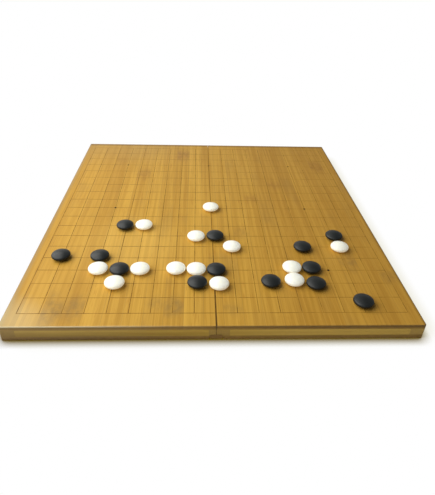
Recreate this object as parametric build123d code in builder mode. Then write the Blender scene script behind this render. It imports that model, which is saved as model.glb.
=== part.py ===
from build123d import *
import os

# Folding board for chess and go, lying open with the go side up and the stones in play.
# Millimetres. The origin is at the bottom of the joint between the halves, midway along it.
# X runs across the halves, Y along the joint towards the back, Z up.

# Line grid of the go side
line_count = 19
column_spacing = 22.0
row_spacing = 23.7
line_width = 0.6
line_depth = 0.25
star_diameter = 3.0
star_lines = (4, 10, 16)
side_margin = 12.3
end_margin = 18.7

# Layers, from the table up
chess_panel_thickness = 5.5
core_thickness = 8.0
go_panel_thickness = 5.0

# Middle layer
outer_rail_width = 15.0
seam_rail_width = {"left": 7.5, "right": 13.5}
end_rail_width = 15.0

# Edges
seam_gap = 0.4
corner_radius = 2.0
top_edge_radius = 1.2
bottom_edge_radius = 0.8

# Chess side
square_pitch = 47.0
squares_each_way = 8
square_border = 0.2
inlay_thickness = 0.8

# Hinge links in the front and back edges, one pivot in each half
pivot_height = 3.9
link_end_radius = 2.9
link_thickness = 2.0
link_clearance = 0.12
floor_clearance = 0.1
shoulder_radius = 1.2
running_clearance = 0.05
head_radius = 2.0
head_slot_width = 0.5
head_slot_depth = 0.35
thread_radius = 0.9
thread_length = 12.0

# Stones
stone_diameter = 21.7
stone_height = 9.4
stone_edge_radius = 2.4
seat_clearance = 0.05

# Where each stone lies: column and row of the grid, counted from the front left corner.
# Hands have set the stones down, so they stand a little off the crossings.
black_stones = [
    (1.98, 4.97), (4.01, 4.93), (5.19, 3.85), (10.11, 3.83), (9.14, 2.85), (4.93, 7.79), (10.15, 6.77),
    (14.96, 5.76), (17.02, 6.82), (15.07, 3.97), (12.80, 2.93), (15.04, 2.77), (17.02, 1.53),
]
white_stones = [
    (4.11, 3.89), (6.23, 3.88), (5.10, 2.84), (8.05, 3.91), (9.09, 3.86), (10.22, 2.76), (6.02, 7.82),
    (9.98, 9.83), (9.07, 6.72), (11.04, 5.76), (17.05, 5.75), (14.05, 4.01), (14.00, 3.02),
]

# Worked out from the sizes above
middle_line = (line_count + 1) / 2
half_width = (line_count - 1) / 2 * column_spacing + side_margin
half_length = (line_count - 1) / 2 * row_spacing + end_margin
seam_x = seam_gap / 2
core_base = chess_panel_thickness
go_base = core_base + core_thickness
go_top = go_base + go_panel_thickness
pivot_x = pivot_height + seam_x
seam_round = pivot_x - seam_x
pocket_end_radius = link_end_radius + link_clearance
pocket_depth = link_thickness + floor_clearance
sides = {"left": -1, "right": 1}
ends = {"front": -1, "back": 1}

os.makedirs("parts", exist_ok=True)


def finish(piece, label):
    """Label a finished piece and write it."""
    piece.part.label = label
    export_step(piece.part, f"parts/{label}.step")


def column_x(column):
    return (column - middle_line) * column_spacing


def row_y(row):
    return (row - middle_line) * row_spacing


def slab_sketch(sign, inner, outer, front, back):
    """A rectangle on one half, from inner to outer away from the joint."""
    with Locations((sign * (inner + outer) / 2, (front + back) / 2)):
        Rectangle(outer - inner, back - front)


def outer_corners(piece, sign):
    """The two upright edges at a half's outer corners."""
    upright = piece.edges().filter_by(Axis.Z)
    return upright.group_by(Axis.X)[-1 if sign > 0 else 0]


def face_rim(piece, sign, z):
    """The edges round the face at height z, without the one at the joint."""
    rim = piece.edges().filter_by_position(Axis.Z, z - 0.001, z + 0.001)
    return rim.sort_by(Axis.X, reverse=sign < 0)[1:]


def end_plane(end):
    """Upright plane on the front or back edge, facing out, with its X across the board."""
    return Plane(origin=(0, end * half_length, 0), x_dir=(1, 0, 0), z_dir=(0, end, 0))


def link_pocket(sign):
    """Cut a half's share of both link pockets: open at the joint and below, round over the pivot."""
    for end in ends.values():
        up = -end
        with BuildSketch(end_plane(end)) as pocket:
            with BuildLine():
                far = sign * (pivot_x + pocket_end_radius)
                near = sign * -seam_gap
                over = up * (pivot_height + pocket_end_radius)
                quarter = pocket_end_radius * 2**-0.5
                knee = (sign * (pivot_x + quarter), up * (pivot_height + quarter))
                below = -up * link_end_radius
                Polyline((near, over), (near, below), (far, below), (far, up * pivot_height))
                ThreePointArc((far, up * pivot_height), knee, (sign * pivot_x, over))
                Line((sign * pivot_x, over), (near, over))
            make_face()
        extrude(pocket.sketch, amount=-pocket_depth, mode=Mode.SUBTRACT)


def pivot_hole(sign, radius, length):
    """Bore both pivots of a half, from the end faces inwards."""
    for end in ends.values():
        with BuildSketch(end_plane(end)) as bore:
            with Locations((sign * pivot_x, -end * pivot_height)):
                Circle(radius)
        extrude(bore.sketch, amount=-length, mode=Mode.SUBTRACT)


def go_lines(sign):
    """One half of the line grid with its star points. The joint itself is the middle column."""
    columns = [column for column in range(1, line_count + 1) if (column - middle_line) * sign > 0]
    rows = range(1, line_count + 1)
    edge_x = abs(column_x(1)) + line_width / 2
    edge_y = abs(row_y(1)) + line_width / 2
    for column in columns:
        with Locations((column_x(column), 0)):
            Rectangle(line_width, 2 * edge_y)
    for row in rows:
        with Locations((sign * (seam_x + edge_x) / 2, row_y(row))):
            Rectangle(edge_x - seam_x, line_width)
    slab_sketch(sign, seam_x, seam_x + line_width / 2, -edge_y, edge_y)
    for row in star_lines:
        for column in star_lines:
            if (column - middle_line) * sign >= 0:
                with Locations((column_x(column), row_y(row))):
                    Circle(star_diameter / 2)
    # What the star points reach past the joint is cut off
    with Locations((sign * (seam_x - star_diameter / 2), 0)):
        Rectangle(star_diameter, 2 * half_length, mode=Mode.SUBTRACT)


def dark_square_sketch(sign):
    """The dark chess squares of one half, the first column starting where the seam edge ends its round."""
    per_half = squares_each_way // 2
    for column in range(per_half):
        for row in range(squares_each_way):
            if (column + row + (sign > 0)) % 2 == 0:
                x = sign * (pivot_x + (column + 0.5) * square_pitch)
                y = (row - (squares_each_way - 1) / 2) * square_pitch
                with Locations((x, y)):
                    Rectangle(square_pitch - 2 * square_border, square_pitch - 2 * square_border)


def build_half(side):
    """The layers of one half of the board."""
    sign = sides[side]
    seam_rail_edge = seam_rail_width[side]
    outer_rail_edge = half_width - outer_rail_width
    end_rail_edge = half_length - end_rail_width

    # Go side: top layer with the line grid let in
    with BuildSketch(Plane.XY.offset(go_top)) as line_grid:
        go_lines(sign)
    with BuildPart() as go_panel:
        with BuildSketch(Plane.XY.offset(go_base)):
            slab_sketch(sign, seam_x, half_width, -half_length, half_length)
        extrude(amount=go_panel_thickness)
        fillet(outer_corners(go_panel, sign), radius=corner_radius)
        fillet(face_rim(go_panel, sign, go_top), radius=top_edge_radius)
        extrude(line_grid.sketch, amount=-line_depth, mode=Mode.SUBTRACT)
    finish(go_panel, f"{side}_go_panel")

    with BuildPart() as go_grid:
        extrude(line_grid.sketch, amount=-line_depth)
    finish(go_grid, f"{side}_go_grid")

    # Middle layer: rails all round and the core between them
    with BuildPart() as outer_rail:
        with BuildSketch(Plane.XY.offset(core_base)):
            slab_sketch(sign, outer_rail_edge, half_width, -half_length, half_length)
        extrude(amount=core_thickness)
        fillet(outer_corners(outer_rail, sign), radius=corner_radius)
    finish(outer_rail, f"{side}_outer_rail")

    with BuildPart() as seam_rail:
        with BuildSketch(Plane.XY.offset(core_base)):
            slab_sketch(sign, seam_x, seam_rail_edge, -half_length, half_length)
        extrude(amount=core_thickness)
        link_pocket(sign)
    finish(seam_rail, f"{side}_seam_rail")

    for end_name, end in ends.items():
        inner, outer = sorted((end * end_rail_edge, end * half_length))
        with BuildPart() as end_rail:
            with BuildSketch(Plane.XY.offset(core_base)):
                slab_sketch(sign, seam_rail_edge, outer_rail_edge, inner, outer)
            extrude(amount=core_thickness)
            link_pocket(sign)
        finish(end_rail, f"{side}_{end_name}_rail")

    with BuildPart() as core:
        with BuildSketch(Plane.XY.offset(core_base)):
            slab_sketch(sign, seam_rail_edge, outer_rail_edge, -end_rail_edge, end_rail_edge)
        extrude(amount=core_thickness)
    finish(core, f"{side}_core")

    # Chess side: bottom layer, rounded at the joint about the pivots so that the halves roll past
    # each other as they fold
    with BuildSketch() as inlay_squares:
        dark_square_sketch(sign)
    with BuildPart() as chess_panel:
        with BuildSketch():
            slab_sketch(sign, seam_x, half_width, -half_length, half_length)
        extrude(amount=chess_panel_thickness)
        fillet(outer_corners(chess_panel, sign), radius=corner_radius)
        seam_edge = chess_panel.edges().filter_by(Axis.Y).group_by(Axis.Z)[0]
        fillet(seam_edge.sort_by(Axis.X, reverse=sign < 0)[0], radius=seam_round)
        rim = chess_panel.edges().filter_by_position(Axis.Z, -0.001, 0.001)
        fillet(rim.sort_by(Axis.X, reverse=sign < 0)[1:], radius=bottom_edge_radius)
        link_pocket(sign)
        pivot_hole(sign, thread_radius, pocket_depth + thread_length)
        extrude(inlay_squares.sketch, amount=inlay_thickness, mode=Mode.SUBTRACT)
    finish(chess_panel, f"{side}_chess_panel")

    with BuildPart() as dark_squares:
        extrude(inlay_squares.sketch, amount=inlay_thickness)
    finish(dark_squares, f"{side}_dark_squares")


def build_hinge_link(end_name):
    """A flush plate across the joint with a countersunk bore for each pivot screw."""
    end = ends[end_name]
    with BuildPart() as hinge_link:
        with BuildSketch(end_plane(end)):
            with Locations((0, -end * pivot_height)):
                SlotCenterToCenter(2 * pivot_x, 2 * link_end_radius)
        extrude(amount=-link_thickness)
        for sign in sides.values():
            bore = shoulder_radius + running_clearance
            with Locations(end_plane(end) * Location((sign * pivot_x, -end * pivot_height, 0))):
                CounterSinkHole(bore, head_radius + running_clearance, depth=link_thickness)
    finish(hinge_link, f"{end_name}_hinge_link")


def build_pivot_screw(side, end_name):
    """A slotted shoulder screw: head flush in the link, shoulder through it, thread in the chess panel."""
    sign, end = sides[side], ends[end_name]
    x, face = sign * pivot_x, end * half_length
    inward = -end
    shoulder_end = face + inward * pocket_depth
    tip = shoulder_end + inward * thread_length
    cone_end = face + inward * (head_radius - shoulder_radius)
    with BuildPart() as pivot_screw:
        with BuildSketch(Plane(origin=(x, 0, pivot_height), x_dir=(1, 0, 0), z_dir=(0, 0, 1))):
            with BuildLine():
                Polyline(
                    (0, face), (head_radius, face), (shoulder_radius, cone_end),
                    (shoulder_radius, shoulder_end), (thread_radius, shoulder_end),
                    (thread_radius, tip), (0, tip), close=True,
                )
            make_face()
        revolve(axis=Axis((x, 0, pivot_height), (0, 1, 0)))
        with BuildSketch(end_plane(end)):
            with Locations((x, -end * pivot_height)):
                Rectangle(head_slot_width, 2 * head_radius)
        extrude(amount=-head_slot_depth, mode=Mode.SUBTRACT)
    finish(pivot_screw, f"{side}_{end_name}_pivot_screw")


def build_stone(colour, number, column, row):
    """A stone like a thick lens: a shallow dome above and below, which run on into a round rim."""
    rim_x = stone_diameter / 2 - stone_edge_radius
    half_height = stone_height / 2
    # The domes' radius at which they meet the rim's round without a corner
    dome_radius = (rim_x**2 + half_height**2 - stone_edge_radius**2) / (2 * (half_height - stone_edge_radius))
    lean = rim_x / (dome_radius - stone_edge_radius)
    rise = (1 - lean**2) ** 0.5
    meeting_x = rim_x + stone_edge_radius * lean
    meeting_z = stone_edge_radius * rise
    middle = (column_x(column), row_y(row), go_top + seat_clearance + half_height)
    with BuildPart() as stone:
        with BuildSketch(Plane(origin=middle, x_dir=(1, 0, 0), z_dir=(0, -1, 0))):
            with BuildLine():
                RadiusArc((0, -half_height), (meeting_x, -meeting_z), -dome_radius)
                ThreePointArc((meeting_x, -meeting_z), (stone_diameter / 2, 0), (meeting_x, meeting_z))
                RadiusArc((meeting_x, meeting_z), (0, half_height), -dome_radius)
                Line((0, half_height), (0, -half_height))
            make_face()
        revolve(axis=Axis(middle, (0, 0, 1)))
    finish(stone, f"{colour}_stone_{number:02d}")


for side in sides:
    build_half(side)
    for end_name in ends:
        build_pivot_screw(side, end_name)
for end_name in ends:
    build_hinge_link(end_name)
for number, (column, row) in enumerate(black_stones, 1):
    build_stone("black", number, column, row)
for number, (column, row) in enumerate(white_stones, 1):
    build_stone("white", number, column, row)
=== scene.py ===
import math

import bpy
import numpy as np
from bpy.props import FloatProperty, FloatVectorProperty, IntProperty, PointerProperty
from bpy.types import NodeSocket, Operator, Panel, PropertyGroup
from mathutils import Matrix, Vector


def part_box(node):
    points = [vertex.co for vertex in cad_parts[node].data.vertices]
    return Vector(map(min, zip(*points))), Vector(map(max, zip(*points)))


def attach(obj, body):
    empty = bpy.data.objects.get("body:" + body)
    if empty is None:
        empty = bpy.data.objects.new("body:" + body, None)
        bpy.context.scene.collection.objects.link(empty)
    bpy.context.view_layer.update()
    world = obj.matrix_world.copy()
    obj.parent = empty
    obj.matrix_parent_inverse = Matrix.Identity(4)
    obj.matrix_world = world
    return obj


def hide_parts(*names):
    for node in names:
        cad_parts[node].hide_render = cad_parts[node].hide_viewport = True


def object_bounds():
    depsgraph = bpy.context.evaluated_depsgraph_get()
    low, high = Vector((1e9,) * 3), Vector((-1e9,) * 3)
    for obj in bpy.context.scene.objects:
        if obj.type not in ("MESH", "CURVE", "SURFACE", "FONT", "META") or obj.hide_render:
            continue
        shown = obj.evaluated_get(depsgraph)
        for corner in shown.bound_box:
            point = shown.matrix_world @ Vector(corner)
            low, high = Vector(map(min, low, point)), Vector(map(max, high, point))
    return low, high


bl_info = {
    "name": "Folding Board Dresser",
    "version": (1, 0, 0),
    "blender": (4, 5, 0),
    "location": "3D View > Sidebar > Board",
    "description": "Bamboo, stones, hinge links and studio for a folding chess and go board",
    "category": "Object",
}

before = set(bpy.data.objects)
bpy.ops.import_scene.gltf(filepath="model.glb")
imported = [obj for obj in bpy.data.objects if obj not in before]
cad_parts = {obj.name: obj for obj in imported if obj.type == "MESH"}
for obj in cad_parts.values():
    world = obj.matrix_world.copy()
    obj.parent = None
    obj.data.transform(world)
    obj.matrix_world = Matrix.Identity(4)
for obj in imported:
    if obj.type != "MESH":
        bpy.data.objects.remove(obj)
cad_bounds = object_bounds()

MM = 0.001
half_width, half_length = cad_bounds[1][:2]
SIDES = ("left", "right")
ENDS = ("front", "back")

# Star points stand six lines apart. The lines are 22.0 mm apart across and 23.7 mm along
STAR_SPACING_X = 6 * 22.0 * MM
STAR_SPACING_Y = 6 * 23.7 * MM
STAR_RADIUS = 1.5 * MM

# Patterns of the wood, in turns per metre across the grain, along it and upwards
FIBRES = (1500.0, 14.0, 1500.0)
BUNDLES = (260.0, 5.0, 260.0)
CLOUDS = (22.0, 9.0, 22.0)
BLOTCHES = (150.0, 90.0, 150.0)
FLECKS = (620.0, 45.0, 620.0)
STAINED_FIBRES = (1200.0, 14.0, 1200.0)
STAIN_CLOUDS = (40.0, 8.0, 40.0)

# Ripples round a knuckle, and the glue line between two strips with the fade beside it
RIPPLE_SPACING = 5 * MM
GLUE_HALF_WIDTH = 0.15 * MM
GLUE_FADE = 0.1 * MM

# Patterns of the other materials, in turns per metre, or in turns per metre along X, Y and Z
WORN_PATCHES = 70.0
SCRATCHES = (300.0, 300.0, 4000.0)
SPECKLES = 2600.0
GREY_CLOUDS = 170.0
GROWTH_LINES = (260.0, 900.0, 260.0)

# The middle of the painted sheen on the go side
SHEEN_X = -105 * MM
SHEEN_Y = -95 * MM

# Upward share of the normals of the faces in the round of a top edge, least and most
EDGE_UPWARD = (0.05, 0.995)

# Faces from dome to dome over the rim of a stone
RIM_STEPS = 11

# Width of the camera's sensor, in millimetres
SENSOR_WIDTH = 36.0

# Strips of the go side are counted from the one whose left edge is this far left of the middle.
# The lot is added to their count, and so it picks their random values
FIRST_STRIP_EDGE = 133.6 * MM
STRIP_LOT = 15993

# Knuckles that show on the go side: the strip's count, the distance behind the middle in
# millimetres, and how dark it is
KNUCKLES = (
    (-2, -210, 1.0), (-1, -207, 0.9), (-1, 161, 0.6), (1, 112, 0.9), (4, 186, 0.9), (4, -204, 0.8),
    (3, -200, 0.4), (7, -206, 0.4), (8, -64, 0.5), (9, 31, 0.5), (11, 74, 0.6), (14, -126, 0.6),
    (15, 143, 0.9), (16, -156, 0.5), (16, 4, 0.4), (-3, 16, 0.4), (-4, -190, 0.2),
)


def linear(red, green, blue):
    """A screen colour of 0 to 255 as scene linear values."""
    scaled = np.array((red, green, blue)) / 255
    return tuple(np.where(scaled <= 0.04045, scaled / 12.92, ((scaled + 0.055) / 1.055) ** 2.4).tolist())


def toned(colour, factor):
    """A colour made darker, or lighter up to white."""
    return [min(1.0, factor * part) for part in colour]


def colour_property(name, description, default):
    return FloatVectorProperty(
        name=name, description=description, default=default, subtype="COLOR", size=3, min=0.0, max=1.0
    )


def length_property(name, description, default):
    return FloatProperty(
        name=name, description=description, default=default, unit="LENGTH", min=0.0, precision=5
    )


def factor_property(name, description, default):
    return FloatProperty(
        name=name, description=description, default=default, subtype="FACTOR", min=0.0, max=1.0
    )


class BambooSettings(PropertyGroup):
    """Strips and tones of the bamboo."""

    strip_width: length_property(
        "Strip width", "Width of one bamboo strip of the top and bottom layers", 20.2 * MM
    )
    lamella_width: length_property("Lamella width", "Width of one strip of the rails and core", 6 * MM)
    knuckle_spacing: length_property(
        "Knuckle spacing", "Distance between the knuckles of one strip", 380 * MM
    )
    knuckle_length: length_property("Knuckle length", "How far a knuckle's dark smudge reaches", 20 * MM)
    go_light: colour_property("Go side, light strips", "Lightest strips of the go side", linear(214, 168, 70))
    go_dark: colour_property("Go side, dark strips", "Darkest strips of the go side", linear(180, 134, 49))
    knuckle: colour_property("Knuckles", "Smudges at the knuckles", linear(136, 111, 64))
    # Pale colour of the painted sheen on the front left corner and of the painted highlight on the front left
    # edge rounds
    wear_and_sheen: colour_property("Rubbed edges", "Wood that hands have rubbed pale", linear(222, 212, 170))
    # Pale colour of the painted sheen at the front of the left half, and of the paler wood in the middle
    # layer on the right
    bright_wood_and_sheen: colour_property("Polished wood", "Wood that use has kept bright", linear(255, 215, 118))
    dulled: colour_property("Dulled lacquer", "Wood under lacquer that has gone dull", linear(142, 134, 108))
    fleck: colour_property("Flecks", "Short orange flecks in the fibres", linear(176, 118, 38))
    rail_light: colour_property("Rails, light", "Lightest lamellas of the rails", linear(204, 168, 66))
    rail_dark: colour_property("Rails, dark", "Darkest lamellas of the rails", linear(158, 124, 38))
    end_grain: colour_property("End grain", "Cut ends, which soak up lacquer", linear(144, 111, 43))
    chess_light: colour_property("Chess side", "Strips of the chess side", linear(214, 168, 92))
    inlay: colour_property("Dark squares", "Dark chess squares", linear(84, 50, 26))
    # The line colour is also the painted shade low on upright faces, under the top edge and on the rounds
    # that face away
    line: colour_property("Grid lines", "Filling of the grid lines, and grime", linear(80, 54, 14))
    lacquer: factor_property("Lacquer roughness", "Roughness of the satin lacquer", 0.45)


class StoneSettings(PropertyGroup):
    """Shape and colours of the stones."""

    rim_radius: length_property("Rim radius", "Round over the widest place, between the domes", 2.4 * MM)
    steps_round: IntProperty(
        name="Steps round", description="Faces round a stone", default=64, min=12, max=128
    )
    steps_up: IntProperty(
        name="Steps up", description="Rings of faces over each dome", default=16, min=6, max=64
    )
    black: colour_property("Black stones", "Slate of the black stones", linear(21, 25, 25))
    white: colour_property("White stones", "Shell of the white stones", linear(244, 249, 236))


class HingeSettings(PropertyGroup):
    """Finish of the hinge links and their screws."""

    metal: colour_property("Hinge metal", "Brown lacquer on the links and screws", linear(122, 92, 40))


class StudioSettings(PropertyGroup):
    """Camera, lamps and floor."""

    lens: FloatProperty(
        name="Lens", description="Focal length on a 36 mm sensor", default=32.89, unit="CAMERA"
    )
    eye: FloatVectorProperty(
        name="Eye", description="Place of the camera", default=(-19.8 * MM, -551.8 * MM, 331.4 * MM),
        unit="LENGTH", size=3, precision=5,
    )
    gaze: FloatVectorProperty(
        name="Gaze", description="Direction the camera looks in", default=(0.0463, 0.8232, -0.5659),
        subtype="DIRECTION", size=3,
    )
    right: FloatVectorProperty(
        name="Right", description="Direction to the right of the picture",
        default=(0.9989, -0.0365, 0.0287), subtype="DIRECTION", size=3,
    )
    floor_width: length_property("Floor width", "Side of the square floor", 8.0)
    floor_gap: length_property("Floor gap", "How far the floor lies under the underside", 0.05 * MM)
    floor: colour_property("Floor", "Paper of the floor, for the light it reflects", linear(242, 242, 242))
    contact: colour_property("Contact shadow", "Floor where something touches it", linear(118, 97, 10))
    contact_reach: length_property(
        "Contact reach", "How near a thing has to be for its contact shadow", 11.5 * MM
    )
    shadow: colour_property("Shadow", "Floor that something hides from the lamp", linear(206, 198, 148))
    shadow_reach: length_property("Shadow reach", "How near a thing has to be to hide the lamp", 32 * MM)
    key_place: FloatVectorProperty(
        name="Key place", description="Place of the large lamp", default=(-0.55, -0.05, 0.62),
        unit="LENGTH", size=3,
    )
    key_width: length_property("Key width", "Upright side of the large lamp", 0.9)
    key_length: length_property("Key length", "Level side of the large lamp", 1.3)
    key_power: FloatProperty(
        name="Key lamp", description="Power of the large lamp", default=11.7, unit="POWER"
    )
    key_colour: colour_property("Key colour", "Colour of the large lamp", (1.0, 0.98, 0.94))
    sky: FloatProperty(
        name="Sky", description="Strength of the even light from above", default=0.12, min=0.0
    )
    paper: FloatProperty(
        name="Paper", description="Strength of the light given back from below", default=0.6, min=0.0
    )


class Nodes:
    """A node tree under construction. Values are sockets or plain numbers."""

    def __init__(self, tree):
        self.tree = tree
        self.tree.nodes.clear()

    def add(self, kind, inputs=None, **settings):
        """A node with its settings made and its inputs linked or set."""
        made = self.tree.nodes.new(kind)
        for name, value in settings.items():
            setattr(made, name, value)
        for key, value in (inputs or {}).items():
            if isinstance(value, NodeSocket):
                self.tree.links.new(value, made.inputs[key])
            else:
                made.inputs[key].default_value = value
        return made

    def maths(self, operation, first, second=0.0, third=0.0):
        inputs = {0: first, 1: second, 2: third}
        return self.add("ShaderNodeMath", inputs, operation=operation).outputs[0]

    def product(self, first, *others):
        for other in others:
            first = self.maths("MULTIPLY", first, other)
        return first

    def sum(self, first, *others):
        for other in others:
            first = self.maths("ADD", first, other)
        return first

    def apart(self, first, second):
        """How far two values lie apart."""
        return self.maths("ABSOLUTE", self.maths("SUBTRACT", first, second))

    def ramp(self, value, low, high):
        """Runs straight on from low at 0 to high at 1."""
        return self.sum(self.product(value, high - low), low)

    def smooth(self, value, low, high):
        """Runs smoothly from 0 at low to 1 at high."""
        inputs = {"Value": value, "From Min": low, "From Max": high}
        return self.add("ShaderNodeMapRange", inputs, interpolation_type="SMOOTHSTEP").outputs["Result"]

    def blend(self, share, first, second, mode="MIX"):
        """The first colour going over to the second with the share."""
        colours = [tuple(c) + (1.0,) if not isinstance(c, NodeSocket) else c for c in (first, second)]
        inputs = {0: share, 6: colours[0], 7: colours[1]}
        return self.add("ShaderNodeMix", inputs, data_type="RGBA", blend_type=mode).outputs[2]

    def stain(self, colour, tint, *shares):
        """A colour that goes over to a tint with the product of the shares."""
        return self.blend(self.product(*shares), colour, tint)

    def split(self, vector):
        return self.add("ShaderNodeSeparateXYZ", {0: vector}).outputs

    def join(self, x, y, z):
        return self.add("ShaderNodeCombineXYZ", {0: x, 1: y, 2: z}).outputs[0]


class Surface(Nodes):
    """A node material under construction. Place, x, y and z say where a point is in its object."""

    def __init__(self, name):
        self.material = bpy.data.materials.new(name)
        self.material.use_nodes = True
        super().__init__(self.material.node_tree)
        self.place = self.add("ShaderNodeTexCoord").outputs["Object"]
        self.x, self.y, self.z = self.split(self.place)

    def flat_normal(self):
        """Which way the face looks, in the object's own axes, so that it stays as a part turns."""
        normal = self.add("ShaderNodeNewGeometry").outputs["True Normal"]
        settings = {"vector_type": "NORMAL", "convert_from": "WORLD", "convert_to": "OBJECT"}
        return self.add("ShaderNodeVectorTransform", {0: normal}, **settings).outputs[0]

    def noise(self, vector, scale, detail=2.0, roughness=0.5):
        inputs = {"Vector": vector, "Scale": scale, "Detail": detail, "Roughness": roughness}
        return self.add("ShaderNodeTexNoise", inputs).outputs["Fac"]

    def stretched_noise(self, axes, scales, detail=2.0, roughness=0.5):
        """Noise with its own scale, in turns per metre, along each of three axes."""
        scaled = [self.maths("MULTIPLY", axis, scale) for axis, scale in zip(axes, scales)]
        return self.noise(self.join(*scaled), 1.0, detail, roughness)

    def chance(self, number):
        """A fixed random value from 0 to 1 for each whole number."""
        return self.add("ShaderNodeTexWhiteNoise", {"W": number}, noise_dimensions="1D").outputs["Value"]

    def finish(self, colour, roughness, height=None, relief=0.0, **constants):
        """Close the material with its shader. Relief is the height of the bumps in metres."""
        inputs = {"Base Color": colour, "Roughness": roughness, **constants}
        if height is not None:
            bump = self.add("ShaderNodeBump", {"Height": height, "Distance": relief, "Strength": 1.0})
            inputs["Normal"] = bump.outputs[0]
        shader = self.add("ShaderNodeBsdfPrincipled", inputs)
        self.add("ShaderNodeOutputMaterial", {0: shader.outputs[0]})
        return self.material


class Strips:
    """Where a point lies among the strips of a layer, and the random values of its strip. The
    strips are steps of the distance across the grain. What is added to their count only keeps
    one random value apart from the next."""

    def __init__(self, surface, grain, width, seed):
        self.width = width
        self.across, self.along = (surface.x, surface.y) if grain == "Y" else (surface.y, surface.x)
        shifted = surface.sum(surface.maths("DIVIDE", self.across, width), seed)
        self.count = surface.maths("FLOOR", shifted)
        self.from_middle = surface.apart(surface.maths("FRACT", shifted), 0.5)
        self.tone = surface.chance(self.count)
        self.start = surface.chance(surface.sum(self.count, 37.3))
        self.strength = surface.chance(surface.sum(self.count, 71.9))
        # Each strip's pattern is shifted along the grain, so that none runs on across a joint
        own_along = surface.sum(self.along, surface.product(self.start, 3.0))
        self.axes = (self.across, own_along, surface.z)


def knuckle_field(surface, strips, knuckles, settings):
    """How far a point is from the nearest knuckle of its strip, and how dark that one is. Without
    a list, each strip has one at its own place in every spacing."""
    if not knuckles:
        turn = surface.sum(surface.maths("DIVIDE", strips.along, settings.knuckle_spacing), strips.start)
        distance = surface.product(surface.apart(surface.maths("FRACT", turn), 0.5), settings.knuckle_spacing)
        return distance, surface.smooth(strips.strength, 0.2, 0.95)
    nearest, darkness = 1.0, 0.0
    for count, place, dark in knuckles:
        # To a point on another strip, the knuckle is a metre further off
        own = surface.maths("COMPARE", strips.count, count + STRIP_LOT, 0.5)
        distance = surface.sum(surface.apart(strips.along, place * MM), surface.maths("SUBTRACT", 1.0, own))
        closer = surface.maths("LESS_THAN", distance, nearest)
        nearest = surface.maths("MINIMUM", distance, nearest)
        darkness = surface.sum(darkness, surface.product(closer, surface.maths("SUBTRACT", dark, darkness)))
    return nearest, darkness


def knuckle_smudge(surface, strips, cloud, knuckles, settings):
    """How dark the smudge of a knuckle is: across one strip, bowed and ragged, with ripples round
    its middle and blotches in it."""
    distance, strength = knuckle_field(surface, strips, knuckles, settings)
    bowed = surface.product(strips.from_middle, strips.from_middle, strips.width * 1.6)
    uneven = surface.product(surface.maths("SUBTRACT", cloud, 0.5), 0.07)
    ragged = surface.sum(distance, bowed, uneven)
    reach = surface.product(surface.sum(strength, 0.35), settings.knuckle_length)
    smudge = surface.smooth(surface.maths("DIVIDE", ragged, reach), 1.25, 0.0)
    ripple = surface.maths("SINE", surface.product(ragged, 2 * math.pi / RIPPLE_SPACING))
    rippled = surface.product(smudge, surface.ramp(ripple, 0.94, 1.0))
    blotch = surface.smooth(surface.stretched_noise(strips.axes, BLOTCHES, 3.0, 0.6), 0.35, 0.65)
    return surface.product(rippled, surface.ramp(blotch, 0.4, 1.0), strength)


def go_side_wear_and_sheen(surface, colour, facing_up, settings):
    """How use has changed the top layer from one side to the other, with a painted sheen at the front of the
    left half and on its front left corner.
    """
    x, y = surface.x, surface.y

    # Lacquer gone dull at the back left and along the left border
    leftward = surface.smooth(x, 20 * MM, -140 * MM)
    backward = surface.smooth(y, 120 * MM, 220 * MM)
    back_left = surface.product(leftward, backward, 0.22)
    left_border = surface.product(surface.smooth(x, 7 * MM - half_width, 2 * MM - half_width), 0.5)
    colour = surface.stain(colour, settings.dulled, surface.maths("MAXIMUM", back_left, left_border))

    # Painted sheen at the front of the left half
    offset = surface.join(surface.apart(x, SHEEN_X), surface.apart(y, SHEEN_Y), 0.0)
    distance = surface.add("ShaderNodeVectorMath", {0: offset}, operation="LENGTH").outputs["Value"]
    colour = surface.stain(colour, settings.bright_wood_and_sheen, surface.smooth(distance, 90 * MM, 30 * MM), 0.17)

    # Darker strips on the far left, redder ones to the right
    far_left = surface.smooth(x, -130 * MM, -137 * MM)
    colour = surface.stain(colour, settings.go_dark, far_left, 0.25)
    rightward = surface.smooth(x, -20 * MM, 200 * MM)
    colour = surface.stain(colour, settings.fleck, rightward, 0.22)

    # Darker along the right and back borders
    right_border = surface.smooth(x, half_width - 4.5 * MM, half_width - 1 * MM)
    back_border = surface.smooth(y, half_length - 11 * MM, half_length - 3 * MM)
    colour = surface.stain(colour, settings.line, surface.maths("MAXIMUM", right_border, back_border), 0.5)

    # Painted sheen on the front left corner
    near_left = surface.smooth(x, -100 * MM, -210 * MM)
    near_front = surface.smooth(y, -130 * MM, -232 * MM)
    corner = surface.smooth(surface.sum(near_left, near_front), 1.4, 2.0)
    colour = surface.stain(colour, settings.wear_and_sheen, corner, facing_up, 0.3)

    # Dirt in the joint between the halves, most of it at the front
    joint = surface.smooth(surface.maths("ABSOLUTE", x), 1.2 * MM, 0.5 * MM)
    frontward = surface.smooth(y, -50 * MM, -225 * MM)
    return surface.stain(colour, settings.line, joint, surface.ramp(frontward, 0.05, 0.85))


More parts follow.
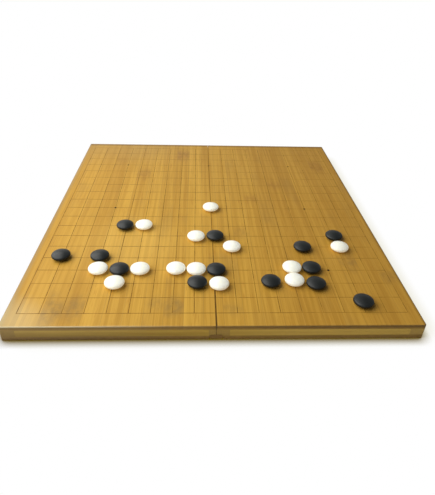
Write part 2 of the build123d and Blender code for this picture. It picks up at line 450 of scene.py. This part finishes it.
def upright_wear_and_shade(surface, colour, upright, settings):
    """Upright faces are dull on the left and have paler wood in the middle layer on the right. Painted shade
    darkens them towards the table and close under the top edge."""
    x, z = surface.x, surface.z
    rightward = surface.smooth(x, -80 * MM, 100 * MM)
    middle_layer = surface.product(surface.smooth(z, 5 * MM, 6 * MM), surface.smooth(z, 14 * MM, 13 * MM))
    colour = surface.stain(colour, settings.bright_wood_and_sheen, rightward, 0.26, middle_layer, upright)
    leftward = surface.smooth(x, 0.0, -150 * MM)
    colour = surface.stain(colour, settings.dulled, leftward, 0.22, upright)
    # Painted shade: darker towards the bottom, and in a band under the top edge
    low = surface.sum(surface.smooth(z, 5 * MM, 0.5 * MM), surface.smooth(z, 16 * MM, 2 * MM))
    low_share = surface.ramp(surface.smooth(x, -100 * MM, 100 * MM), 0.36, 0.16)
    high = surface.smooth(z, 14.4 * MM, 16 * MM)
    high_share = surface.ramp(surface.smooth(x, -50 * MM, 80 * MM), 0.3, 0.5)
    painted_shade = surface.sum(surface.product(low, low_share), surface.product(high, high_share))
    return surface.stain(colour, settings.line, painted_shade, upright)


def edge_highlight_and_shade(surface, colour, facing_back, settings):
    """The round of an edge gets a painted highlight at the front on the left and painted shade everywhere
    else.
    """
    fronts = surface.smooth(facing_back, -0.05, -0.3)
    leftward = surface.smooth(surface.x, 0.0, -190 * MM)
    # Painted highlight on the front-facing rounds at the left, painted shade on the rounds that face away
    colour = surface.stain(colour, settings.wear_and_sheen, leftward, 0.48, fronts)
    return surface.stain(colour, settings.line, surface.maths("SUBTRACT", 1.0, fronts), 0.45)


def bamboo(name, grain, strip_width, light, dark, settings, seed=0.0, knuckles=(), go_side=False, edge=False):
    """Lacquered bamboo. Each strip has a tone, a fibre pattern and knuckles of its own; the fibres
    are noise drawn out along the grain, so they show as dots where an end is cut. Grain is the axis
    that the strips run along, X or Y, and seed shifts them across it. Edge is for the round of the
    go side's edges."""
    surface = Surface(name)
    strips = Strips(surface, grain, strip_width, seed)
    fine = surface.stretched_noise(strips.axes, FIBRES, 3.0, 0.6)
    broad = surface.stretched_noise(strips.axes, BUNDLES, 2.0, 0.5)
    cloud = surface.stretched_noise(strips.axes, CLOUDS, 3.0, 0.55)
    fleck = surface.stretched_noise(strips.axes, FLECKS, 2.0, 0.65)

    fibres = surface.sum(surface.product(fine, 0.42), surface.product(broad, 0.58))
    mottle = surface.smooth(fibres, 0.37, 0.63)
    darkness = surface.sum(surface.product(strips.tone, 0.38), surface.product(mottle, 0.54))
    colour = surface.blend(darkness, light, dark)
    colour = surface.stain(colour, settings.fleck, surface.smooth(fleck, 0.56, 0.74), 0.4)

    # Knuckles, which are browner at the back of the go side, and faint clouds
    backward = surface.smooth(surface.y, -120 * MM, 20 * MM)
    browner = surface.product(backward, 0.55 if go_side else 0.0)
    knuckle = surface.blend(browner, settings.knuckle, settings.fleck)
    smudge = knuckle_smudge(surface, strips, cloud, knuckles, settings)
    colour = surface.stain(colour, knuckle, smudge, 0.85)
    colour = surface.stain(colour, settings.knuckle, surface.smooth(cloud, 0.5, 0.78), 0.3)

    # The glue line between two strips
    line_edge = 0.5 - GLUE_HALF_WIDTH / strip_width
    glue = surface.smooth(strips.from_middle, line_edge - GLUE_FADE / strip_width, line_edge)
    colour = surface.stain(colour, settings.knuckle, glue, 0.35)

    facing = surface.split(surface.flat_normal())
    if go_side:
        colour = go_side_wear_and_sheen(surface, colour, surface.smooth(facing[2], 0.3, 0.7), settings)

    # Cut ends are darker, because they soak up the lacquer
    ends = surface.smooth(surface.maths("ABSOLUTE", facing[1 if grain == "Y" else 0]), 0.6, 0.9)
    pores = surface.blend(surface.smooth(fine, 0.35, 0.7), settings.end_grain, settings.knuckle)
    colour = surface.stain(colour, pores, ends, 0.75)

    upright = surface.smooth(surface.maths("ABSOLUTE", facing[2]), 0.9, 0.6)
    colour = upright_wear_and_shade(surface, colour, upright, settings)
    if edge:
        colour = edge_highlight_and_shade(surface, colour, facing[1], settings)
        return surface.finish(colour, 0.24, fine, 0.01 * MM)
    rough = surface.ramp(broad, settings.lacquer - 0.06, settings.lacquer + 0.06)
    return surface.finish(colour, rough, fine, 0.04 * MM, **{"Specular IOR Level": 0.14})


def line_filling(settings):
    """Dark filling of the grid lines. It is worn thinner in patches, to the right, to the back and
    along the joint, and darker in the star points, which stand six lines apart from the middle."""
    surface = Surface("line_filling")
    x, y = surface.x, surface.y
    patches = surface.smooth(surface.noise(surface.place, WORN_PATCHES, 4.0, 0.7), 0.4, 0.62)
    rightward = surface.smooth(x, -20 * MM, 120 * MM)
    backward = surface.smooth(y, 0.0, 200 * MM)
    by_joint = surface.smooth(surface.maths("ABSOLUTE", x), 2 * MM, 1 * MM)
    off_front = surface.smooth(y, -200 * MM, -50 * MM)
    worn = surface.sum(
        surface.product(rightward, 0.35), surface.product(backward, 0.2),
        surface.product(by_joint, off_front), surface.product(patches, 0.55),
    )
    colour = surface.blend(worn, settings.line, settings.go_dark)
    squares = []
    for axis, spacing in ((x, STAR_SPACING_X), (y, STAR_SPACING_Y)):
        nearest = surface.maths("SNAP", surface.sum(axis, spacing / 2), spacing)
        offset = surface.maths("SUBTRACT", axis, nearest)
        squares.append(surface.product(offset, offset))
    distance = surface.maths("SQRT", surface.sum(*squares))
    star = surface.smooth(distance, STAR_RADIUS + 0.3 * MM, STAR_RADIUS - 0.2 * MM)
    colour = surface.blend(star, colour, toned(settings.line, 0.25))
    return surface.finish(colour, 0.6, **{"Specular IOR Level": 0.1})


def dark_inlay(settings):
    """Stained squares with the grain running on through the stain."""
    surface = Surface("dark_inlay")
    axes = (surface.x, surface.y, surface.z)
    fibre = surface.stretched_noise(axes, STAINED_FIBRES, 3.0, 0.6)
    cloud = surface.stretched_noise(axes, STAIN_CLOUDS)
    deep = toned(settings.inlay, 0.55)
    colour = surface.blend(surface.smooth(fibre, 0.35, 0.7), settings.inlay, deep)
    colour = surface.stain(colour, deep, cloud, 0.4)
    return surface.finish(colour, settings.lacquer, fibre, 0.03 * MM)


def hinge_metal(settings):
    """Metal under a brown lacquer, rubbed along its length."""
    surface = Surface("hinge_metal")
    axes = (surface.x, surface.y, surface.z)
    wear_and_sheen = surface.stretched_noise(axes, SCRATCHES, 2.0, 0.6)
    colour = surface.blend(surface.smooth(wear_and_sheen, 0.4, 0.75), settings.metal, toned(settings.metal, 1.5))
    return surface.finish(colour, surface.ramp(wear_and_sheen, 0.38, 0.58), wear_and_sheen, 0.01 * MM, Metallic=0.55)


def slate(settings):
    """Matte black slate: fine speckle and a faint cloud of grey."""
    surface = Surface("slate")
    speckle = surface.noise(surface.place, SPECKLES, 2.0, 0.6)
    cloud = surface.noise(surface.place, GREY_CLOUDS, 2.0, 0.5)
    colour = surface.blend(surface.smooth(cloud, 0.4, 0.8), settings.black, toned(settings.black, 1.7))
    rough = surface.ramp(speckle, 0.33, 0.45)
    return surface.finish(colour, rough, speckle, 0.012 * MM, **{"Specular IOR Level": 0.3})


def shell(settings):
    """White shell: faint growth lines under a soft polish, light that scatters inside it, and a faint painted
    glow from emission.
    """
    surface = Surface("shell")
    axes = (surface.x, surface.y, surface.z)
    waves = surface.stretched_noise(axes, GROWTH_LINES, 2.0, 0.5)
    warm = [part * scale for part, scale in zip(settings.white, (0.99, 0.975, 0.94))]
    colour = surface.blend(surface.smooth(waves, 0.35, 0.75), settings.white, warm)
    # Subsurface scattering is real; the emission is a painted glow that lifts the shaded sides
    scatter_and_painted_glow = {
        "Subsurface Weight": 0.8, "Subsurface Radius": (1.0, 0.97, 0.9), "Subsurface Scale": 8 * MM,
        "Emission Color": (0.98, 1.0, 0.84, 1.0), "Emission Strength": 0.2,
    }
    return surface.finish(colour, surface.ramp(waves, 0.2, 0.3), waves, 0.006 * MM, **scatter_and_painted_glow)


def wear(node, material, edge_material=None):
    """Give a CAD node its material in place of the plain one, and the rounds of its top edges
    another if there is one: the faces that slope, between upright and level."""
    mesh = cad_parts[node].data
    mesh.materials.clear()
    mesh.materials.append(material)
    if edge_material:
        mesh.materials.append(edge_material)
        normals = np.zeros(len(mesh.polygons) * 3)
        mesh.polygons.foreach_get("normal", normals)
        upward = normals.reshape(-1, 3)[:, 2]
        least, most = EDGE_UPWARD
        mesh.polygons.foreach_set("material_index", ((upward > least) & (upward < most)).astype(np.int32))


def grid_mesh(name, points, material):
    """A closed mesh from a grid of points, rows by columns: the columns wrap round, and the first
    and last row, each in one point, close it."""
    rows, columns = points.shape[:2]
    ring = np.arange(columns)
    after = np.roll(ring, -1)
    start = 1 + np.arange(rows - 2)[:, None] * columns
    low, high = start[:-1], start[1:]
    quads = np.stack([low + ring, low + after, high + after, high + ring], axis=-1).reshape(-1, 4)
    last = 1 + (rows - 2) * columns
    bottom = np.stack([np.zeros(columns, int), 1 + after, 1 + ring], axis=-1)
    top_ring = last - columns + ring
    top = np.stack([np.full(columns, last), top_ring, last - columns + after], axis=-1)
    vertices = np.concatenate([points[0, :1], points[1:-1].reshape(-1, 3), points[-1, :1]])
    mesh = bpy.data.meshes.new(name)
    mesh.from_pydata(vertices.tolist(), [], quads.tolist() + bottom.tolist() + top.tolist())
    mesh.polygons.foreach_set("use_smooth", np.ones(len(mesh.polygons), bool))
    mesh.materials.append(material)
    mesh.update()
    made = bpy.data.objects.new(name, mesh)
    bpy.context.scene.collection.objects.link(made)
    return made


def stone_points(low, high, rim, steps_round, steps_up):
    """Points of a stone between two corners of its box. Its profile is an arc of the lower dome, an
    arc of the rim radius over the widest place and an arc of the upper dome, each with the tangent
    of the one before where they meet."""
    centre = (low + high) / 2
    radius, half_height = (high[0] - low[0]) / 2, (high[2] - low[2]) / 2
    rim_x = radius - rim
    dome = (rim_x**2 + half_height**2 - rim**2) / (2 * (half_height - rim))
    lean = math.asin(rim_x / (dome - rim))
    slope = np.linspace(0, lean, steps_up + 1)
    turned = np.linspace(math.pi - lean, lean, RIM_STEPS + 1)[1:-1]
    dome_across = dome * np.sin(slope)
    dome_up = half_height - dome + dome * np.cos(slope)
    across = np.concatenate([dome_across, rim_x + rim * np.sin(turned), dome_across[::-1]])
    up = np.concatenate([-dome_up, rim * np.cos(turned), dome_up[::-1]])
    turn = np.linspace(0, 2 * math.pi, steps_round, endpoint=False)
    x = centre[0] + across[:, None] * np.cos(turn)
    y = centre[1] + across[:, None] * np.sin(turn)
    z = np.broadcast_to((centre[2] + up)[:, None], x.shape)
    return np.stack([x, y, z], axis=-1)


class BOARD_OT_go_side(Operator):
    """Give the top layers their bamboo and the grid its filling"""

    bl_idname = "board.go_side"
    bl_label = "Go side"

    def execute(self, context):
        settings = context.scene.board_bamboo
        width = settings.strip_width
        tones = (settings.go_light, settings.go_dark)
        lot = STRIP_LOT + FIRST_STRIP_EDGE / width
        top = bamboo("go_bamboo", "Y", width, *tones, settings, lot, KNUCKLES, go_side=True)
        edge = bamboo("go_edge_bamboo", "Y", width, *tones, settings, lot, KNUCKLES, go_side=True, edge=True)
        filling = line_filling(settings)
        for side in SIDES:
            wear(f"{side}_go_panel", top, edge)
            wear(f"{side}_go_grid", filling)
        return {"FINISHED"}


class BOARD_OT_rails(Operator):
    """Give the rails and cores of the middle layer their bamboo"""

    bl_idname = "board.rails"
    bl_label = "Rails and cores"

    def execute(self, context):
        settings = context.scene.board_bamboo
        tones = (settings.rail_light, settings.rail_dark)
        along = bamboo("rail_bamboo", "Y", settings.lamella_width, *tones, settings, 0.1)
        across = bamboo("cross_bamboo", "X", settings.lamella_width, *tones, settings, 0.6)
        for side in SIDES:
            for node in ("outer_rail", "seam_rail"):
                wear(f"{side}_{node}", along)
            for node in ("front_rail", "back_rail", "core"):
                wear(f"{side}_{node}", across)
        return {"FINISHED"}


class BOARD_OT_chess_side(Operator):
    """Give the bottom layers their bamboo and the squares their stain"""

    bl_idname = "board.chess_side"
    bl_label = "Chess side"

    def execute(self, context):
        settings = context.scene.board_bamboo
        under = bamboo(
            "chess_bamboo", "Y", settings.strip_width, settings.chess_light, settings.go_dark, settings, 0.8
        )
        stain = dark_inlay(settings)
        for side in SIDES:
            wear(f"{side}_chess_panel", under)
            wear(f"{side}_dark_squares", stain)
        return {"FINISHED"}


class BOARD_OT_hinges(Operator):
    """Give the hinge links and pivot screws their brown metal"""

    bl_idname = "board.hinges"
    bl_label = "Hinge links and screws"

    def execute(self, context):
        metal = hinge_metal(context.scene.board_hinge)
        for end in ENDS:
            wear(f"{end}_hinge_link", metal)
            for side in SIDES:
                wear(f"{side}_{end}_pivot_screw", metal)
        return {"FINISHED"}


class BOARD_OT_stones(Operator):
    """Model every stone where model.glb has it, black slate or white shell"""

    bl_idname = "board.stones"
    bl_label = "Stones"

    def execute(self, context):
        settings = context.scene.board_stone
        finishes = {"black": slate(settings), "white": shell(settings)}
        for node in sorted(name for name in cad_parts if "_stone_" in name):
            colour = node.split("_")[0]
            low, high = (np.array(corner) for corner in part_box(node))
            points = stone_points(low, high, settings.rim_radius, settings.steps_round, settings.steps_up)
            stone = grid_mesh(f"{node}_smooth", points, finishes[colour])
            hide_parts(node)
            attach(stone, node)
        return {"FINISHED"}


def area_lamp(name, place, target, width, length, power, colour):
    """A soft lamp at a place, facing its target, its length about level."""
    light = bpy.data.lights.new(name, "AREA")
    light.shape = "RECTANGLE"
    light.size = length
    light.size_y = width
    light.energy = power
    light.color = colour
    lamp = bpy.data.objects.new(name, light)
    lamp.location = place
    lamp.rotation_euler = (Vector(target) - Vector(place)).to_track_quat("-Z", "Y").to_euler()
    bpy.context.scene.collection.objects.link(lamp)


def even_sky(strength, paper):
    """White wherever the camera looks and a little darker to the right where a reflection looks. For
    everything else it is an even soft light from the upper half, and from the lower half the light
    that white paper gives back, which reaches only what hangs below the floor."""
    world = bpy.data.worlds.new("sky")
    world.use_nodes = True
    sky = Nodes(world.node_tree)
    path = sky.add("ShaderNodeLightPath").outputs
    across, _, height = sky.split(sky.add("ShaderNodeTexCoord").outputs["Generated"])
    side = sky.ramp(sky.smooth(across, -0.35, 0.4), 1.0, 0.35)
    mirrored = sky.maths("MAXIMUM", path["Is Glossy Ray"], path["Is Transmission Ray"])
    seen = sky.maths("MAXIMUM", path["Is Camera Ray"], sky.product(mirrored, side))
    even = sky.ramp(sky.smooth(height, -0.05, 0.05), paper, strength)
    level = sky.maths("MAXIMUM", seen, even)
    background = sky.add("ShaderNodeBackground", {"Color": (1.0, 1.0, 1.0, 1.0), "Strength": level})
    sky.add("ShaderNodeOutputWorld", {0: background.outputs[0]})
    bpy.context.scene.world = world


def floor_paper(settings):
    """White paper, see-through from below. The camera sees the white background through it, darkened
    by the shadow of what stands on it, so that a half that is folded down past the floor stays in
    view. The shadow is the part of the view straight up, and of a view towards the lamp, that
    something near blocks."""
    paper = Surface("floor_paper")
    path = paper.add("ShaderNodeLightPath").outputs
    from_below = paper.add("ShaderNodeNewGeometry").outputs["Backfacing"]
    shaded = paper.product(path["Is Camera Ray"], paper.maths("SUBTRACT", 1.0, from_below))
    tint = (1.0, 1.0, 1.0)
    views = (
        ((0.0, 0.0, 1.0), settings.contact_reach, settings.contact, 1.0, 0.5),
        (settings.key_place, settings.shadow_reach, settings.shadow, 0.85, 0.15),
    )
    for towards, reach, colour, clear_share, dark_share in views:
        inputs = {"Distance": reach, "Normal": paper.join(*towards)}
        open_share = paper.add("ShaderNodeAmbientOcclusion", inputs, samples=16).outputs["AO"]
        blocked = {"Value": open_share, "From Min": clear_share, "From Max": dark_share}
        shadow = paper.add("ShaderNodeMapRange", blocked).outputs["Result"]
        darkened = paper.blend(paper.product(shadow, shaded), (1.0, 1.0, 1.0), colour)
        tint = paper.blend(1.0, tint, darkened, "MULTIPLY")
    clear = paper.add("ShaderNodeBsdfTransparent", {0: tint})
    matt = paper.add("ShaderNodeBsdfDiffuse", {0: tuple(settings.floor) + (1.0,)})
    passing = paper.maths("MAXIMUM", path["Is Camera Ray"], path["Is Shadow Ray"])
    passing = paper.maths("MAXIMUM", passing, from_below)
    mixed = paper.add("ShaderNodeMixShader", {0: passing, 1: matt.outputs[0], 2: clear.outputs[0]})
    paper.add("ShaderNodeOutputMaterial", {0: mixed.outputs[0]})
    return paper.material


def lay_floor(settings):
    """A square of white paper just under the board."""
    half = settings.floor_width / 2
    level = -settings.floor_gap
    corners = [(-half, -half, level), (half, -half, level), (half, half, level), (-half, half, level)]
    mesh = bpy.data.meshes.new("floor")
    mesh.from_pydata(corners, [], [(0, 1, 2, 3)])
    mesh.materials.append(floor_paper(settings))
    floor = bpy.data.objects.new("floor", mesh)
    bpy.context.scene.collection.objects.link(floor)


def aim_camera(settings):
    """The camera at its place, along its gaze and with its right side turned as the settings say."""
    camera = bpy.data.objects.new("camera", bpy.data.cameras.new("camera"))
    camera.data.lens = settings.lens
    camera.data.sensor_width = SENSOR_WIDTH
    camera.data.clip_start = 10 * MM
    forward = Vector(settings.gaze).normalized()
    right = Vector(settings.right)
    right = (right - forward * right.dot(forward)).normalized()
    up = right.cross(forward)
    turn = Matrix((right, up, -forward)).transposed()
    camera.matrix_world = Matrix.Translation(settings.eye) @ turn.to_4x4()
    bpy.context.scene.collection.objects.link(camera)
    bpy.context.scene.camera = camera


class BOARD_OT_studio(Operator):
    """Set up the floor, the lamps, the sky and the camera"""

    bl_idname = "board.studio"
    bl_label = "Studio"

    def execute(self, context):
        settings = context.scene.board_studio
        context.scene.view_settings.view_transform = "Standard"
        lay_floor(settings)
        size = (settings.key_width, settings.key_length)
        area_lamp("key_lamp", settings.key_place, (0, 0, 0), *size, settings.key_power, settings.key_colour)
        even_sky(settings.sky, settings.paper)
        aim_camera(settings)
        return {"FINISHED"}


GROUPS = {
    "board_bamboo": BambooSettings,
    "board_stone": StoneSettings,
    "board_hinge": HingeSettings,
    "board_studio": StudioSettings,
}

OPERATORS = (
    BOARD_OT_go_side, BOARD_OT_rails, BOARD_OT_chess_side, BOARD_OT_hinges, BOARD_OT_stones, BOARD_OT_studio,
)


class BOARD_PT_dresser(Panel):
    """Lists the steps that dress the board"""

    bl_idname = "BOARD_PT_dresser"
    bl_label = "Folding Board"
    bl_space_type = "VIEW_3D"
    bl_region_type = "UI"
    bl_category = "Board"

    def draw(self, context):
        for group in GROUPS:
            settings = getattr(context.scene, group)
            box = self.layout.box()
            for name in settings.bl_rna.properties.keys():
                if name not in ("rna_type", "name"):
                    box.prop(settings, name)
        for operator in OPERATORS:
            self.layout.operator(operator.bl_idname)


def register():
    for group in GROUPS.values():
        bpy.utils.register_class(group)
    for name, group in GROUPS.items():
        setattr(bpy.types.Scene, name, PointerProperty(type=group))
    for operator in OPERATORS:
        bpy.utils.register_class(operator)
    bpy.utils.register_class(BOARD_PT_dresser)


def unregister():
    bpy.utils.unregister_class(BOARD_PT_dresser)
    for operator in reversed(OPERATORS):
        bpy.utils.unregister_class(operator)
    for name, group in GROUPS.items():
        delattr(bpy.types.Scene, name)
        bpy.utils.unregister_class(group)


def main():
    register()
    for operator in OPERATORS:
        group, action = operator.bl_idname.split(".")
        getattr(getattr(bpy.ops, group), action)()


if __name__ == "__main__":
    main()
